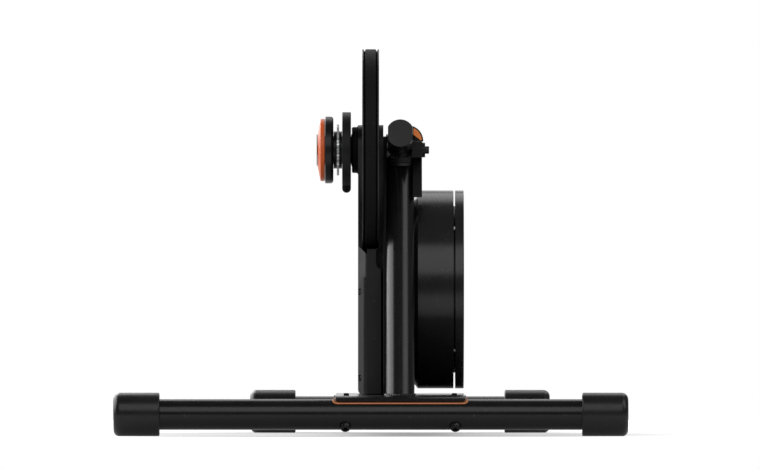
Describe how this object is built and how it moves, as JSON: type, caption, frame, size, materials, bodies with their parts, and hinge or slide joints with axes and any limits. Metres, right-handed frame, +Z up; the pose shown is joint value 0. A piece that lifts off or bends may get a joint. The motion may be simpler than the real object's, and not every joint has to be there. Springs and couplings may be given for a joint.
{
  "type": "direct drive bike trainer",
  "caption": "Indoor bike trainer on two cross legs, with a leaning frame, belt drive, outboard flywheel and a single cog that takes the rear wheel's place.",
  "frame": {"origin": "on the floor, on the bike's centre plane and midway between the two cross legs", "axes": "+X to the bike's left, along the main axle; +Y to the bike's rear; +Z up"},
  "size_m": [0.635, 0.494, 0.4792],
  "materials": {
    "frame_paint": "satin black powder coat",
    "moulded_black": "fine moulded grain",
    "cap_rubber": "matte",
    "belt_rubber": "ribbed",
    "orange_plastic": "satin",
    "liner_orange": "matte",
    "dark_cast": "black anodised and cast",
    "flywheel_paint": "semi-gloss black, fine turning marks",
    "bare_steel": "ground",
    "bare_aluminium": "machined",
    "bolt_black": "black oxide",
    "copper_winding": "enamelled wire",
    "circuit_board": "solder mask",
    "clear_lens": "clear"
  },
  "bodies": {
    "root": {"front_leg_tube": "frame_paint", "front_leg_liner": "liner_orange", "front_leg_cap_left": "cap_rubber", "front_leg_cap_right": "cap_rubber", "front_leg_bolt_left": "bolt_black", "front_leg_bolt_right": "bolt_black", "rear_leg_tube": "frame_paint", "rear_leg_liner": "liner_orange", "rear_leg_cap_left": "cap_rubber", "rear_leg_cap_right": "cap_rubber", "rear_leg_bolt_left": "bolt_black", "rear_leg_bolt_right": "bolt_black", "base_plate": "frame_paint", "upright_tube": "frame_paint", "frame_plate": "frame_paint", "axle_head": "frame_paint", "handle_bracket": "frame_paint", "handle_tube": "frame_paint", "handle_end_cap": "moulded_black", "head_pod": "moulded_black", "pod_inlay": "orange_plastic", "casing_outer_shell": "moulded_black", "casing_inner_shell": "moulded_black", "pulley_cover_outer": "moulded_black", "pulley_cover_band": "moulded_black", "pulley_cover_inner": "moulded_black", "bearing_cover": "moulded_black", "main_axle": "bare_steel", "drive_side_adapter": "dark_cast", "left_side_adapter": "dark_cast", "axle_spacer": "bare_steel", "flywheel_housing": "dark_cast", "flywheel_bearing_inner": "bare_steel", "flywheel_bearing_outer": "bare_steel", "brake_stator": "dark_cast", "brake_coil": "copper_winding", "drive_belt": "belt_rubber", "tensioner_arm": "bare_steel", "electronics_cover": "moulded_black", "control_board": "circuit_board", "power_inlet": "moulded_black", "status_light": "clear_lens"},
    "pulley": {"large_pulley": "bare_aluminium", "pulley_bearing": "bare_steel"},
    "freehub": {"freehub_body": "dark_cast", "freehub_bearing": "bare_steel", "inner_guard": "moulded_black", "cog_carrier": "dark_cast", "outer_guard": "moulded_black"},
    "dial": {"chain_line_dial": "orange_plastic"},
    "cog_ring": {"cog": "bare_steel"},
    "flywheel": {"flywheel_shaft": "bare_steel", "small_pulley": "bare_aluminium", "flywheel_rotor": "flywheel_paint", "slit_disc": "dark_cast", "flywheel_disc": "flywheel_paint", "shaft_nut": "bolt_black"},
    "idler": {"idler_pulley": "moulded_black"}
  },
  "joints": [
    {"name": "flywheel_spin", "type": "hinge", "parent": "root", "child": "flywheel", "pos_m": [0.08, 0.06, 0.1801], "axis": [1, 0, 0], "continuous": true},
    {"name": "pulley_spin", "type": "hinge", "parent": "root", "child": "pulley", "pos_m": [0, 0.02, 0.3537], "axis": [1, 0, 0], "continuous": true},
    {"name": "freehub_ratchet", "type": "hinge", "parent": "pulley", "child": "freehub", "pos_m": [-0.04, 0.02, 0.3537], "axis": [1, 0, 0], "continuous": true},
    {"name": "dial_turn", "type": "hinge", "parent": "freehub", "child": "dial", "pos_m": [-0.06, 0.02, 0.3537], "axis": [1, 0, 0], "range_deg": [-60, 60]},
    {"name": "cog_slide", "type": "slide", "parent": "freehub", "child": "cog_ring", "axis": [1, 0, 0], "range_m": [-0.00252, 0.00252]},
    {"name": "idler_spin", "type": "hinge", "parent": "root", "child": "idler", "pos_m": [0, 0.10342, 0.21572], "axis": [1, 0, 0], "continuous": true}
  ],
  "couplings": [
    {"joint": "pulley_spin", "follows": "flywheel_spin", "ratio": 0.17857},
    {"joint": "idler_spin", "follows": "flywheel_spin", "ratio": -1.3462},
    {"joint": "cog_slide", "follows": "dial_turn", "m_per_rad": 0.0023873}
  ]
}
